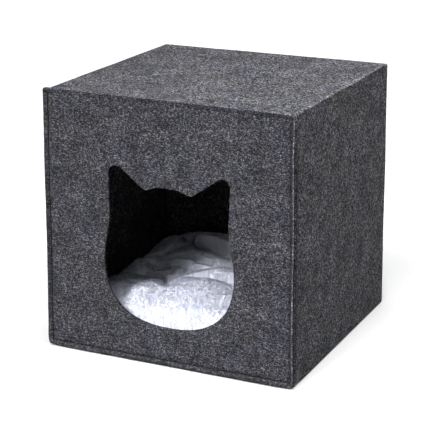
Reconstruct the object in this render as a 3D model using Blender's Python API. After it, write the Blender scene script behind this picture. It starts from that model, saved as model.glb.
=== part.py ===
"""A felt cat cave: a cube of stiff felt with a cat-head opening, and a plush cushion inside.

Units are metres. +Z is up, the opening faces -Y, and the origin is on the floor, under the
middle of the outline. The cave is three cut pieces of felt. One strip is folded into the
floor, right side, top and left side. The front panel is stitched to it with both raw edges
bent outwards as a flange, and the back panel meets it edge to edge.
"""
import math

import bmesh
import bpy
from mathutils import Vector
from mathutils.geometry import delaunay_2d_cdt

# The cave
WIDTH = 0.330           # over the side walls, at the floor
HEIGHT = 0.329          # floor to top
DEPTH = 0.3247          # front of the flange to the back
FELT = 0.0030           # thickness of the felt
GAP = 0.0003            # air between two pieces that touch
FOLD_RADIUS = 0.0013    # inside radius of a folded corner
FOLD_GROWTH = 0.4       # how much the radius grows for each unit further out
BACK_ROUND = 0.0020     # rounding where the back panel meets the strip
BACK_GROOVE = 0.0008    # how deep that seam is drawn in

# The flange along the front
STITCHED = 0.0020       # felt thickness where the stitches press it
RAW_EDGE = 0.0022       # felt thickness at the cut edge
STITCH_RUN = 0.0018     # from the bend to where the felt springs back
SHORTER = 0.0016        # how much shorter the strip's layer is than the front panel's
PANEL_RIM = 0.006       # border of a flat panel that its edge rings take up
BAND_RIM = 0.006        # and of the strip behind its flange
CREASE_RUN = 0.0036     # from the seam line to where the felt starts to thin towards it
CORNER_NOTCH = 0.88     # flange length at the two floor corners, as a share
NOTCH_BLEND = 0.03      # share of a side over which the notch runs out
CORNER_BLEND = 0.12     # share of a side over which it takes up its neighbour's lean

# How each side of the flange stands, going round anticlockwise from the floor's left corner.
# lean is 0 degrees straight outwards and 90 straight forwards; lengths run along the seam.
FLANGE_COLUMNS = ("lean_start", "lean_end", "length_start", "length_end")
FLANGE_SIDES = (
    (34.0, 34.0, 0.0075, 0.0075),   # floor
    (45.0, 45.0, 0.0063, 0.0063),   # right
    (20.0, 8.0, 0.0050, 0.0062),    # top
    (45.0, 45.0, 0.0063, 0.0063),   # left
)

# How the soft box departs from a true one
TAPER_X = 0.0206        # share of the width lost at the top
TAPER_Y = 0.0056        # share of the depth lost at the top
BOW_SIDE = 0.0012       # outward bow of the side walls
BOW_END = 0.0006        # outward bow of the front and the back
TOP_SAG = 0.0012        # dip in the middle of the top
WAVER = 0.0004          # unevenness along the walls
LIFT = 0.0033           # the floor strip's rise to the front seam
LIFT_RUN = 0.032        # depth over which it rises
LIFT_HEIGHT = 0.045     # height over which the front settles back to its own level

# The cat-head opening: u is measured sideways from its middle line, z from the floor
OPENING_X = 0.0025      # its middle line is a little right of the panel's
HEAD_CENTRE_Z = 0.1284  # height of the widest place
HEAD_DROP = 0.0790      # from there to the lowest point
HEAD_ROUNDNESS = 2.4    # exponent of the lower outline
WAIST_Z = 0.1860        # height of the narrowest place, below the ears
NOTCH_RADIUS = 0.0080   # rounding between an ear and the crown
BEND_RADIUS = 0.0200    # rounding where the crown starts to fall towards the notches
CROWN_Z = 0.2249        # top of the head between the ears

# Its two sides differ a little. An ear's corner is where its two edges would meet.
HEAD_COLUMNS = ("widest", "waist", "ear_u", "ear_z", "ear_radius",
                "notch_u", "notch_z", "bend_u", "bend_z")
HEAD_SIDES = (
    (0.0868, 0.0798, 0.0828, 0.2540, 0.0100, 0.0308, 0.2181, 0.0138, 0.2243),   # right
    (0.0868, 0.0785, 0.0804, 0.2570, 0.0108, 0.0298, 0.2187, 0.0155, 0.2246),   # left
)

# The cushion
CUSHION_HALF_X = 0.1595 # half of its width at the corners
CUSHION_HALF_Y = 0.1560 # half of its depth at the corners
CUSHION_Y = 0.0016      # its middle is this far behind the cave's
SIDE_DRAW = 0.022       # share by which the middle of each side is drawn in
CUSHION_BED = 0.0035    # underside, just clear of the felt floor
RIM_Z = 0.0265          # height of the edge seam
CROWN_HEIGHT = 0.0400   # from the edge seam to the top
EDGE_ROLL = 0.050       # width over which the top rolls down to the edge
UNDER_ROLL = 0.030      # and the underside rolls up to it

# Mounds on the cushion's top: centre, half widths and height
MOUND_COLUMNS = ("x", "y", "half_x", "half_y", "height")
MOUNDS = (
    (-0.095, -0.062, 0.050, 0.048, 0.006),
    (-0.005, -0.062, 0.060, 0.050, 0.012),
    (0.095, -0.055, 0.050, 0.055, 0.008),
    (-0.020, 0.048, 0.062, 0.036, 0.010),
    (0.085, 0.050, 0.060, 0.045, 0.007),
    (-0.115, 0.100, 0.045, 0.045, 0.005),
    (0.000, 0.130, 0.090, 0.032, 0.009),
)

# Creases on the cushion's top, as runs from point to point with their depth and half width
CREASE_COLUMNS = ("x_start", "y_start", "x_end", "y_end", "depth", "half_width")
CREASES = (
    (-0.128, 0.010, -0.048, 0.006, 0.010, 0.009),
    (-0.048, 0.006, 0.040, -0.004, 0.006, 0.007),
    (0.040, -0.004, 0.130, 0.004, 0.006, 0.008),
    (-0.140, 0.052, -0.108, 0.047, 0.010, 0.009),
    (-0.108, 0.047, -0.084, 0.090, 0.007, 0.010),
    (-0.084, 0.100, -0.030, 0.092, 0.010, 0.009),
    (-0.030, 0.092, 0.090, 0.098, 0.008, 0.009),
    (-0.056, 0.000, -0.046, -0.085, 0.006, 0.011),
    (0.052, 0.000, 0.050, -0.090, 0.006, 0.011),
)

# Mesh steps
ARC_STEPS = 3
ROUND_STEPS = 5
SIDE_SHARES = (0.025, 0.06, 0.11, 0.2, 0.3, 0.4, 0.5, 0.6, 0.7, 0.8, 0.89, 0.94, 0.975)
WALL_STEPS = 7
BACK_MARGIN = 0.012     # the strip's last even step is this far from the back
BACK_ROUND_STEPS = 2
LOWER_STEPS = 11        # of a quarter of the opening's lower outline
CHEEK_STEPS = 4
LIFT_SHARES = (0.88, 0.75, 0.55, 0.36)  # places along the floor's rise to the front
PANEL_STEP = 0.034      # spacing of the points that let a panel bow
PANEL_MARGIN = 0.011    # those points keep this far from an edge
MERGE_DISTANCE = 1e-7
EDGE_STEPS = (0.0, 0.0016, 0.0055, 0.012, 0.020, 0.031)
CUSHION_INNER_STEPS = 15

HALF_GAP = GAP / 2
SKIN = HALF_GAP + FELT                  # from the seam line to the outside of the felt
SEAM_HALF_WIDTH = WIDTH / 2 - SKIN
SEAM_HALF_HEIGHT = HEIGHT / 2 - SKIN
SIDE_LENGTH = FLANGE_SIDES[1][FLANGE_COLUMNS.index("length_start")]
FLANGE_REACH = (SIDE_LENGTH + HALF_GAP + RAW_EDGE) * math.sqrt(0.5)
SEAM_Y = -DEPTH / 2 + FLANGE_REACH
BACK_Y = DEPTH / 2
MITRE = 45                              # degrees at which the back's seam cuts the corner
CORNERS = ((-1, -1, 180), (1, -1, 270), (1, 1, 0), (-1, 1, 90))     # sides and first angle


def smooth(value):
    """A soft step from 0 to 1."""
    value = min(max(value, 0.0), 1.0)
    return value * value * (3 - 2 * value)


def settle(x, y, z):
    """Move a point of the true box to where it lies in the soft one."""
    across = x / (WIDTH / 2)
    along = y / (DEPTH / 2)
    up = min(max(z / HEIGHT, 0.0), 1.0)
    wall = math.sin(math.pi * up)
    side_middle = math.cos(math.pi * min(abs(along), 1.0) / 2)
    end_middle = math.cos(math.pi * min(abs(across), 1.0) / 2)
    x_new = x * (1 - TAPER_X * up)
    y_new = y * (1 - TAPER_Y * up)
    x_new += BOW_SIDE * across ** 5 * side_middle * wall
    x_new += WAVER * wall * math.sin(9 * up + 2.2 * across)
    y_new += BOW_END * along ** 5 * end_middle * wall
    z_new = z - TOP_SAG * up ** 6 * side_middle * end_middle
    rise = smooth((SEAM_Y + LIFT_RUN - y) / LIFT_RUN) * (1 - smooth(z / LIFT_HEIGHT))
    return x_new, y_new, z_new + LIFT * rise


def stations():
    """Places round the strip: each corner's arc, then the side that follows it."""
    places = []
    for corner in range(4):
        places += [("arc", corner, step / ARC_STEPS) for step in range(ARC_STEPS + 1)]
        places += [("side", corner, share) for share in SIDE_SHARES]
    return places


def arc_point(corner, share, outward):
    """A point on a corner's arc, this far outside the seam line."""
    sign_x, sign_z, start = CORNERS[corner % 4]
    radius = FOLD_RADIUS + FOLD_GROWTH * max(outward, 0.0)
    angle = math.radians(start + 90 * share)
    centre_x = sign_x * (SEAM_HALF_WIDTH + outward - radius)
    centre_z = HEIGHT / 2 + sign_z * (SEAM_HALF_HEIGHT + outward - radius)
    return centre_x + radius * math.cos(angle), centre_z + radius * math.sin(angle)


def ring_point(place, outward):
    """The x and z of a place round the strip, this far outside the seam line."""
    kind, corner, share = place
    if kind == "arc":
        return arc_point(corner, share, outward)
    start = arc_point(corner, 1.0, outward)
    end = arc_point(corner + 1, 0.0, outward)
    return tuple(a + (b - a) * share for a, b in zip(start, end))


def flange_side(corner, share):
    """Lean in degrees and length that a side itself gives the flange at a place along it."""
    side = dict(zip(FLANGE_COLUMNS, FLANGE_SIDES[corner % 4]))
    lean = side["lean_start"] + (side["lean_end"] - side["lean_start"]) * share
    length = side["length_start"] + (side["length_end"] - side["length_start"]) * share
    return lean, length


def flange_corner(corner):
    """Lean in degrees and length where two sides meet, half way between theirs."""
    before = flange_side(corner - 1, 1.0)
    after = flange_side(corner, 0.0)
    return (before[0] + after[0]) / 2, (before[1] + after[1]) / 2


def notch(corner):
    """Share of the flange's length that is left at a corner."""
    return CORNER_NOTCH if CORNERS[corner % 4][1] < 0 else 1.0


def flange_at(place):
    """Lean in radians and length of the flange at a place round the strip."""
    kind, corner, share = place
    if kind == "arc":
        lean, length = flange_corner(corner)
        return math.radians(lean), length * notch(corner)
    lean, length = flange_side(corner, share)
    for end, near in ((corner, share), (corner + 1, 1 - share)):
        pull = 1 - smooth(near / CORNER_BLEND)
        corner_lean, corner_length = flange_corner(end)
        lean += (corner_lean - lean) * pull
        length += (corner_length - length) * pull
        length *= 1 - (1 - notch(end)) * (1 - smooth(near / NOTCH_BLEND))
    return math.radians(lean), length


def bent_edge(bend, length, flat_run):
    """Inner and outer outline of a sheet that bends away at its stitched edge.

    The sheet lies along the first axis, its inner face half a gap from it. At the origin it
    bends by the given angle and runs on to its raw edge, half a gap from the seam.
    """
    along_seam = (math.cos(bend), math.sin(bend))
    off_seam = (-math.sin(bend), math.cos(bend))
    turn = HALF_GAP * math.tan(bend / 2)
    half_way = (-math.sin(bend / 2), math.cos(bend / 2))
    rows = [((-flat_run, HALF_GAP), (0.0, 1.0), FELT)]
    rows.append(((-CREASE_RUN, HALF_GAP), (0.0, 1.0), FELT))
    rows.append(((turn * along_seam[0] + HALF_GAP * off_seam[0],
                  turn * along_seam[1] + HALF_GAP * off_seam[1]),
                 half_way, STITCHED / math.cos(bend / 2)))
    for run, thickness in ((STITCH_RUN + STITCHED * math.tan(bend / 2), STITCHED),
                           (length, RAW_EDGE)):
        point = tuple(run * a + HALF_GAP * o for a, o in zip(along_seam, off_seam))
        rows.append((point, off_seam, thickness))
    inner = [point for point, _, _ in rows]
    outer = [tuple(p + thickness * d for p, d in zip(point, direction))
             for point, direction, thickness in rows]
    return inner, outer


class Sheet:
    """Collects the points and faces of one closed piece of cloth."""

    def __init__(self):
        self.points = []
        self.faces = []

    def add(self, x, y, z):
        """Add a point, moved to its place in the soft box."""
        self.points.append(settle(x, y, z))
        return len(self.points) - 1

    def bridge(self, loop_a, loop_b):
        """Join two closed loops of the same length with pairs of triangles."""
        count = len(loop_a)
        for i in range(count):
            j = (i + 1) % count
            self.faces.append((loop_a[i], loop_a[j], loop_b[j]))
            self.faces.append((loop_a[i], loop_b[j], loop_b[i]))

    def bridge_all(self, rings):
        """Join each ring to the next one."""
        for ring_a, ring_b in zip(rings, rings[1:]):
            self.bridge(ring_a, ring_b)

    def build(self, name, colour, roughness):
        """Make the object, its faces turned outwards, and give it its own material."""
        mesh = bpy.data.meshes.new(name)
        mesh.from_pydata(self.points, [], self.faces)
        work = bmesh.new()
        work.from_mesh(mesh)
        bmesh.ops.recalc_face_normals(work, faces=work.faces)
        bmesh.ops.triangulate(work, faces=work.faces)
        if work.calc_volume(signed=True) < 0:
            bmesh.ops.reverse_faces(work, faces=work.faces)
        work.to_mesh(mesh)
        work.free()
        mesh.shade_smooth()
        mesh.set_sharp_from_angle(angle=math.radians(40))
        piece = bpy.data.objects.new(name, mesh)
        bpy.context.scene.collection.objects.link(piece)
        material = bpy.data.materials.new(name)
        material.use_nodes = True
        shader = material.node_tree.nodes["Principled BSDF"]
        shader.inputs["Base Color"].default_value = (*colour, 1.0)
        shader.inputs["Roughness"].default_value = roughness
        shader.inputs["Metallic"].default_value = 0.0
        mesh.materials.append(material)
        return piece


def inside(point, outline):
    """Whether a point lies inside a closed outline."""
    x, z = point
    odd = False
    for (x_a, z_a), (x_b, z_b) in zip(outline, outline[1:] + outline[:1]):
        if (z_a > z) != (z_b > z) and x < x_a + (z - z_a) * (x_b - x_a) / (z_b - z_a):
            odd = not odd
    return odd


def distance_to(point, outline):
    """Distance from a point to the nearest corner or edge of a closed outline."""
    x, z = point
    nearest = math.inf
    for (x_a, z_a), (x_b, z_b) in zip(outline, outline[1:] + outline[:1]):
        run_x, run_z = x_b - x_a, z_b - z_a
        share = ((x - x_a) * run_x + (z - z_a) * run_z) / (run_x ** 2 + run_z ** 2)
        share = min(max(share, 0.0), 1.0)
        nearest = min(nearest, math.hypot(x - x_a - share * run_x, z - z_a - share * run_z))
    return nearest


def fill_panel(rim, hole):
    """Triangles of the flat part between a rim and a hole, with points to let it bow.

    Returns the extra points and the triangles, which count the rim's points first, then the
    hole's, then the extra ones.
    """
    extra = []
    steps_x = round(WIDTH / PANEL_STEP)
    steps_z = round(HEIGHT / PANEL_STEP)
    for i in range(1, steps_x):
        for j in range(1, steps_z):
            spot = (-WIDTH / 2 + WIDTH * i / steps_x, HEIGHT * j / steps_z)
            if distance_to(spot, rim) < PANEL_MARGIN:
                continue
            if hole and (inside(spot, hole) or distance_to(spot, hole) < PANEL_MARGIN):
                continue
            extra.append(spot)
    spots = rim + hole + extra
    edges = [(i, (i + 1) % len(rim)) for i in range(len(rim))]
    edges += [(len(rim) + i, len(rim) + (i + 1) % len(hole)) for i in range(len(hole))]
    found = delaunay_2d_cdt(spots, edges, [], 0, MERGE_DISTANCE)
    triangles = []
    for face in found[2]:
        corners = [found[3][corner][0] for corner in face]
        middle = tuple(sum(spots[corner][axis] for corner in corners) / 3 for axis in (0, 1))
        if inside(middle, rim) and not (hole and inside(middle, hole)):
            triangles.append(tuple(corners))
    return extra, triangles


def rounded(corners):
    """Outline through corners given as (u, z, radius), each inner one rounded by an arc."""
    outline = []
    for before, corner, after in zip(corners, corners[1:], corners[2:]):
        point = Vector(corner[:2])
        radius = corner[2]
        to_before = (Vector(before[:2]) - point).normalized()
        to_after = (Vector(after[:2]) - point).normalized()
        half_angle = to_before.angle(to_after) / 2
        inwards = (to_before + to_after).normalized()
        centre = point + inwards * radius / math.sin(half_angle)
        start = point + to_before * radius / math.tan(half_angle) - centre
        end = point + to_after * radius / math.tan(half_angle) - centre
        for step in range(ROUND_STEPS + 1):
            outline.append(tuple(centre + radius * start.slerp(end, step / ROUND_STEPS)))
    return outline


def opening_half(side):
    """One side of the cat head, from its lowest point up to the crown, as u and z."""
    half = []
    for step in range(LOWER_STEPS + 1):
        angle = math.pi / 2 * step / LOWER_STEPS
        half.append((side["widest"] * math.sin(angle) ** (2 / HEAD_ROUNDNESS),
                     HEAD_CENTRE_Z - HEAD_DROP * math.cos(angle) ** (2 / HEAD_ROUNDNESS)))
    for step in range(1, CHEEK_STEPS + 1):
        share = step / CHEEK_STEPS
        half.append((side["widest"] + (side["waist"] - side["widest"]) * smooth(share),
                     HEAD_CENTRE_Z + (WAIST_Z - HEAD_CENTRE_Z) * share))
    half += rounded([(side["waist"], WAIST_Z, 0.0),
                     (side["ear_u"], side["ear_z"], side["ear_radius"]),
                     (side["notch_u"], side["notch_z"], NOTCH_RADIUS),
                     (side["bend_u"], side["bend_z"], BEND_RADIUS),
                     (0.0, CROWN_Z, 0.0)])
    half.append((0.0, CROWN_Z))
    return half


def opening_outline():
    """The cat head, anticlockwise from its lowest point, as x and z."""
    right, left = [opening_half(dict(zip(HEAD_COLUMNS, row))) for row in HEAD_SIDES]
    outline = [(OPENING_X + u, z) for u, z in right]
    outline += [(OPENING_X - u, z) for u, z in reversed(left[1:-1])]
    return outline


def front_panel():
    """The front: a flat panel with the opening, and a rim that bends out into the flange."""
    sheet = Sheet()
    places = stations()
    rings_inner, rings_outer = [], []
    for place in places:
        lean, length = flange_at(place)
        inner, outer = bent_edge(lean, length, PANEL_RIM)
        rings_inner.append([sheet.add(*put_front(place, *point)) for point in inner])
        rings_outer.append([sheet.add(*put_front(place, *point)) for point in outer])
    inner_rings = [list(ring) for ring in zip(*rings_inner)]
    outer_rings = [list(ring) for ring in zip(*rings_outer)]
    sheet.bridge_all(inner_rings)
    sheet.bridge_all(outer_rings)
    sheet.bridge(inner_rings[-1], outer_rings[-1])
    rim = [ring_point(place, -PANEL_RIM) for place in places]
    hole = opening_outline()
    extra, triangles = fill_panel(rim, hole)
    hole_loops = []
    for ring, forward in ((inner_rings[0], HALF_GAP), (outer_rings[0], SKIN)):
        loop = [sheet.add(x, SEAM_Y - forward, z) for x, z in hole]
        inner_points = [sheet.add(x, SEAM_Y - forward, z) for x, z in extra]
        lookup = ring + loop + inner_points
        sheet.faces += [tuple(lookup[corner] for corner in face) for face in triangles]
        hole_loops.append(loop)
    sheet.bridge(*hole_loops)
    return sheet.build("front_panel", (0.085, 0.088, 0.100), 0.95)


def put_front(place, outward, forward):
    """Point of the front panel from its distances outside and in front of the seam line."""
    x, z = ring_point(place, outward)
    return x, SEAM_Y - forward, z


def back_corner(first_angle, last_angle):
    """Rounded outside of the back seam, between two angles: the strip is 0, the back 90."""
    outline = []
    for step in range(BACK_ROUND_STEPS + 1):
        share = step / BACK_ROUND_STEPS
        angle = first_angle + (last_angle - first_angle) * share
        radius = BACK_ROUND - (BACK_GROOVE if angle == MITRE else 0.0)
        angle = math.radians(angle)
        outline.append((SKIN - BACK_ROUND + radius * math.cos(angle),
                        BACK_Y - BACK_ROUND + radius * math.sin(angle)))
    return outline


def wall_band():
    """The strip: floor, right side, top and left side, with the flange's back layer."""
    sheet = Sheet()
    half_cut = GAP * math.sqrt(0.5)
    rings_inner, rings_outer = [], []
    lifted_y = SEAM_Y + LIFT_RUN
    run = BACK_Y - BACK_MARGIN - lifted_y
    walls = [lifted_y + run * (1 - step / WALL_STEPS) for step in range(WALL_STEPS + 1)]
    walls += [SEAM_Y + LIFT_RUN * share for share in LIFT_SHARES]
    corner = back_corner(MITRE, 0)
    corner[0] = (corner[0][0], corner[0][1] - half_cut)
    for place in stations():
        lean, length = flange_at(place)
        inner, outer = bent_edge(math.pi / 2 - lean, length - SHORTER, BAND_RIM)
        inner_line = [(HALF_GAP, BACK_Y - FELT - half_cut)] + [(HALF_GAP, y) for y in walls]
        outer_line = corner + [(SKIN, y) for y in walls]
        inner_line += [(out, SEAM_Y - forward) for forward, out in inner]
        outer_line += [(out, SEAM_Y - forward) for forward, out in outer]
        rings_inner.append([sheet.add(*put_ring(place, *point)) for point in inner_line])
        rings_outer.append([sheet.add(*put_ring(place, *point)) for point in outer_line])
    inner_rings = [list(ring) for ring in zip(*rings_inner)]
    outer_rings = [list(ring) for ring in zip(*rings_outer)]
    sheet.bridge_all(inner_rings)
    sheet.bridge_all(outer_rings)
    sheet.bridge(inner_rings[0], outer_rings[0])
    sheet.bridge(inner_rings[-1], outer_rings[-1])
    return sheet.build("wall_band", (0.120, 0.118, 0.132), 0.95)


def put_ring(place, outward, y):
    """Point from its distance outside the seam line and its depth."""
    x, z = ring_point(place, outward)
    return x, y, z


def back_panel():
    """The back: a flat panel whose edge is mitred to the strip."""
    sheet = Sheet()
    places = stations()
    half_cut = GAP * math.sqrt(0.5)
    corner = back_corner(MITRE, 90)
    corner[0] = (corner[0][0] - half_cut, corner[0][1])
    outer_line = [(-PANEL_RIM, BACK_Y)] + corner[::-1]
    inner_line = [(-PANEL_RIM, BACK_Y - FELT), (HALF_GAP - half_cut, BACK_Y - FELT)]
    rings_inner = [[sheet.add(*put_ring(place, *point)) for point in inner_line]
                   for place in places]
    rings_outer = [[sheet.add(*put_ring(place, *point)) for point in outer_line]
                   for place in places]
    inner_rings = [list(ring) for ring in zip(*rings_inner)]
    outer_rings = [list(ring) for ring in zip(*rings_outer)]
    sheet.bridge_all(inner_rings)
    sheet.bridge_all(outer_rings)
    sheet.bridge(inner_rings[-1], outer_rings[-1])
    rim = [ring_point(place, -PANEL_RIM) for place in places]
    extra, triangles = fill_panel(rim, [])
    for ring, y in ((inner_rings[0], BACK_Y - FELT), (outer_rings[0], BACK_Y)):
        lookup = ring + [sheet.add(x, y, z) for x, z in extra]
        sheet.faces += [tuple(lookup[corner] for corner in face) for face in triangles]
    return sheet.build("back_panel", (0.075, 0.074, 0.082), 0.95)


def cushion_steps(half):
    """Places from one edge of the cushion to the other, closer together at the edges."""
    edge = [step - half for step in EDGE_STEPS]
    inner_run = -2 * edge[-1]
    count = CUSHION_INNER_STEPS
    inner = [edge[-1] + inner_run * step / count for step in range(1, count)]
    return edge + inner + [-step for step in reversed(edge)]


def roll(distance, width):
    """Height share of a rounded edge, this far in from it."""
    inward = 1 - min(max(distance / width, 0.0), 1.0)
    return math.sqrt(1 - inward * inward)


def crease_drop(x, y):
    """How far the creases pull the cushion's top down at a point."""
    drop = 0.0
    for row in CREASES:
        crease = dict(zip(CREASE_COLUMNS, row))
        run_x = crease["x_end"] - crease["x_start"]
        run_y = crease["y_end"] - crease["y_start"]
        share = ((x - crease["x_start"]) * run_x + (y - crease["y_start"]) * run_y)
        share = min(max(share / (run_x ** 2 + run_y ** 2), 0.0), 1.0)
        aside = math.hypot(x - crease["x_start"] - share * run_x,
                           y - crease["y_start"] - share * run_y)
        depth = crease["depth"] * math.exp(-(aside / crease["half_width"]) ** 2)
        drop = max(drop, depth)
    return drop


def mound_rise(x, y):
    """How far the mounds lift the cushion's top at a point."""
    rise = 0.0
    for row in MOUNDS:
        mound = dict(zip(MOUND_COLUMNS, row))
        across = (x - mound["x"]) / mound["half_x"]
        along = (y - mound["y"]) / mound["half_y"]
        rise += mound["height"] * math.exp(-(across ** 2 + along ** 2))
    return rise


def cushion():
    """The cushion: two faces sewn together round the edge and filled."""
    sheet = Sheet()
    steps_x = cushion_steps(CUSHION_HALF_X)
    steps_y = cushion_steps(CUSHION_HALF_Y)
    count = len(steps_x)
    top, under = {}, {}
    for i, across in enumerate(steps_x):
        for j, along in enumerate(steps_y):
            share_x, share_y = across / CUSHION_HALF_X, along / CUSHION_HALF_Y
            x = across * (1 - SIDE_DRAW * (1 - share_y ** 2) * share_x ** 4)
            y = along * (1 - SIDE_DRAW * (1 - share_x ** 2) * share_y ** 4) + CUSHION_Y
            from_side = CUSHION_HALF_X - abs(across)
            from_end = CUSHION_HALF_Y - abs(along)
            upper = roll(from_side, EDGE_ROLL) * roll(from_end, EDGE_ROLL)
            lower = roll(from_side, UNDER_ROLL) * roll(from_end, UNDER_ROLL)
            height = CROWN_HEIGHT + mound_rise(x, y) - crease_drop(x, y)
            top[i, j] = len(sheet.points)
            sheet.points.append((x, y, RIM_Z + height * upper))
            if i in (0, count - 1) or j in (0, count - 1):
                under[i, j] = top[i, j]
                continue
            under[i, j] = len(sheet.points)
            sheet.points.append((x, y, RIM_Z - (RIM_Z - CUSHION_BED) * lower))
    for grid in (top, under):
        for i in range(count - 1):
            for j in range(count - 1):
                sheet.faces.append((grid[i, j], grid[i + 1, j],
                                    grid[i + 1, j + 1], grid[i, j + 1]))
    return sheet.build("cushion", (0.86, 0.87, 0.92), 0.9)


def main():
    """Clear the scene and make the four pieces."""
    for old in list(bpy.data.objects):
        bpy.data.objects.remove(old, do_unlink=True)
    front_panel()
    wall_band()
    back_panel()
    cushion()


main()
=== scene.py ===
"""Looks of the felt cat cave: felt sheets with sewn flanges, loose fibres, and a plush cushion.

Everything is in metres in the frame of the CAD model: +Z up, the opening faces -Y. The felt
pieces follow the same folds as their CAD solids, with finer steps, rounded cut edges,
stitches and uneven surfaces.
"""

import math

import bmesh
import bpy
import numpy as np
from mathutils import Matrix, Vector, noise
from mathutils.geometry import delaunay_2d_cdt


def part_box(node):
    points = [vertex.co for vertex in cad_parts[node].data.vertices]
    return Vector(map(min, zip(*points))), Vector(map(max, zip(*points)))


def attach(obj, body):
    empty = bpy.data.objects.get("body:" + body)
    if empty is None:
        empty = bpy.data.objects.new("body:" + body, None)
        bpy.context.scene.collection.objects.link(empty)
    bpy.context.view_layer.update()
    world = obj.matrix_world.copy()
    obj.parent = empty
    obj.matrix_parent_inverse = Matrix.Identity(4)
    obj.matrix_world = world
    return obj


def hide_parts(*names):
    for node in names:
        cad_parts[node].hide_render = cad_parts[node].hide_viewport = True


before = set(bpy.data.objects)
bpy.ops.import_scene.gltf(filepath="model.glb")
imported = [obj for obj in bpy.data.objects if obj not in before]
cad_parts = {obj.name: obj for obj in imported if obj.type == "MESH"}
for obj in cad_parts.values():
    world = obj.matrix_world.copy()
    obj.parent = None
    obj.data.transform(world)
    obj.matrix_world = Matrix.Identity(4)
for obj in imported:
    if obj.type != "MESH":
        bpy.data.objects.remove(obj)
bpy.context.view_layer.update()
noise.seed_set(1)  # noise_vector would otherwise differ from run to run

# ------------------------------ sizes shared with the CAD
WIDTH, HEIGHT, DEPTH = 0.330, 0.329, 0.3247
FELT = 0.0030  # thickness of the felt
HALF_GAP = 0.00015  # half of the air between two layers
SKIN = HALF_GAP + FELT
FOLD_RADIUS, FOLD_GROWTH = 0.0013, 0.4
BACK_ROUND, BACK_GROOVE = 0.0020, 0.0008
STITCHED, RAW_EDGE = 0.0020, 0.0022  # felt thickness under the stitches and at the cut
STITCH_RUN = 0.0018
SHORTER = 0.0016  # the strip's flange layer is this much shorter
PANEL_RIM, BAND_RIM, CREASE_RUN = 0.006, 0.006, 0.0036
CORNER_NOTCH, NOTCH_BLEND, CORNER_BLEND = 0.88, 0.03, 0.12
FLANGE_SIDES = (  # lean in degrees at start and end, length at start and end
    (34.0, 34.0, 0.0075, 0.0075),  # floor
    (45.0, 45.0, 0.0063, 0.0063),  # right
    (20.0, 8.0, 0.0050, 0.0062),  # top
    (45.0, 45.0, 0.0063, 0.0063),  # left
)
TAPER_X, TAPER_Y = 0.0206, 0.0056
BOW_SIDE, BOW_END, TOP_SAG, WAVER = 0.0012, 0.0006, 0.0012, 0.0004
LIFT, LIFT_RUN, LIFT_HEIGHT = 0.0033, 0.032, 0.045
OPENING_X = 0.0025
HEAD_CENTRE_Z, HEAD_DROP, HEAD_ROUNDNESS = 0.1284, 0.0790, 2.4
WAIST_Z, NOTCH_RADIUS, BEND_RADIUS, CROWN_Z = 0.1860, 0.0080, 0.0200, 0.2249
HEAD_SIDES = (  # in the order of opening_half's values
    (0.0868, 0.0798, 0.0828, 0.2540, 0.0100, 0.0308, 0.2181, 0.0138, 0.2243),  # right
    (0.0868, 0.0785, 0.0804, 0.2570, 0.0108, 0.0298, 0.2187, 0.0155, 0.2246),  # left
)

SEAM_HALF_WIDTH = WIDTH / 2 - SKIN
SEAM_HALF_HEIGHT = HEIGHT / 2 - SKIN
SEAM_Y = -DEPTH / 2 + (FLANGE_SIDES[1][2] + HALF_GAP + RAW_EDGE) * math.sqrt(0.5)
BACK_Y = DEPTH / 2
CORNERS = ((-1, -1, 180), (1, -1, 270), (1, 1, 0), (-1, 1, 90))
MITRE = 45
HALF_CUT = 2 * HALF_GAP * math.sqrt(0.5)  # half of the air in the back seam's mitre

# ------------------------------ sizes of the finer pieces
# The seam's tones are painted light and shade. Low tones at the crease, at the pressed line and at
# the flange's foot are painted shade in the seam's groove. A rim tone above 1 is a painted
# highlight along the right and top rims, and the floor's low one is painted shade where the rim
# meets the floor. The cut's tone is partly the cut's own darker fibre ends and partly painted
# shade between the two layers. The strip's share darkens the strip's flange layer with painted
# shade.
SEAM_COLUMNS = ("crease_shade", "pressed_shade", "rim_light_and_shade", "cut_tone", "strip_shade",
                "foot_shade", "pinch")
SEAM_SIDES = (
    (0.38, 0.95, 0.42, 0.35, 1.00, 1.00, 0.00070),  # floor
    (0.32, 0.80, 2.60, 0.34, 0.40, 0.22, 0.00060),  # right
    (0.72, 0.95, 1.45, 0.90, 1.00, 1.00, 0.00030),  # top
    (0.12, 1.00, 0.95, 0.60, 1.00, 1.00, 0.00110),  # left
)
# How light the strip's folds are painted, towards the side before and the side after each corner:
# a painted highlight where the top right fold turns onto the top, painted shade where it turns
# onto the right side, and painted shade all along the top left fold
FOLD_LIGHT_AND_SHADE = ((1.0, 1.0), (1.0, 1.0), (0.70, 1.55), (0.40, 0.55))
SEAM_BLEND = 0.03  # share of a side over which these values blend at a corner
BEAD_SWING = 0.30  # how much the painted highlight on a rim comes and goes from stitch to stitch
LEAN_SWAY, LENGTH_SWAY, LENGTH_FINE_SWAY = 2.2, 0.00022, 0.00010
FOOT_ROUND, CREASE_ROUND, PRESSED_ROUND = 0.0022, 0.0005, 0.0009
INNER_PRESSED_ROUND, INNER_CREASE_ROUND = 0.0004, 0.0003
PRESSED_PINCH = 0.3  # share of the crease's pinch that the pressed line has
STITCHES = 62  # stitches along each side of the front seam
PINCH_SWING = 0.35  # how much of the pinch comes and goes from stitch to stitch
STITCH_RADIUS, STITCH_TIP, STITCH_ARCH, STITCH_SUNK = 0.00034, 0.55, 0.0003, 0.6
STITCH_ENDS = (0.16, 0.84)  # where the thread dives in, in shares of a stitch's length
STITCH_PLACE = 0.55  # how far it lies from the crease towards the pressed line
STITCH_DEPTH = 0.98  # how high it lies, in shares of the felt's thickness there
STITCH_SIDES, STITCH_RINGS = 6, 5
FRONT_SUBSTEPS, STRIP_SUBSTEPS = 4, 2  # points for each stitch
BACK_STEPS = 60  # points along each side of the back seam
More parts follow.
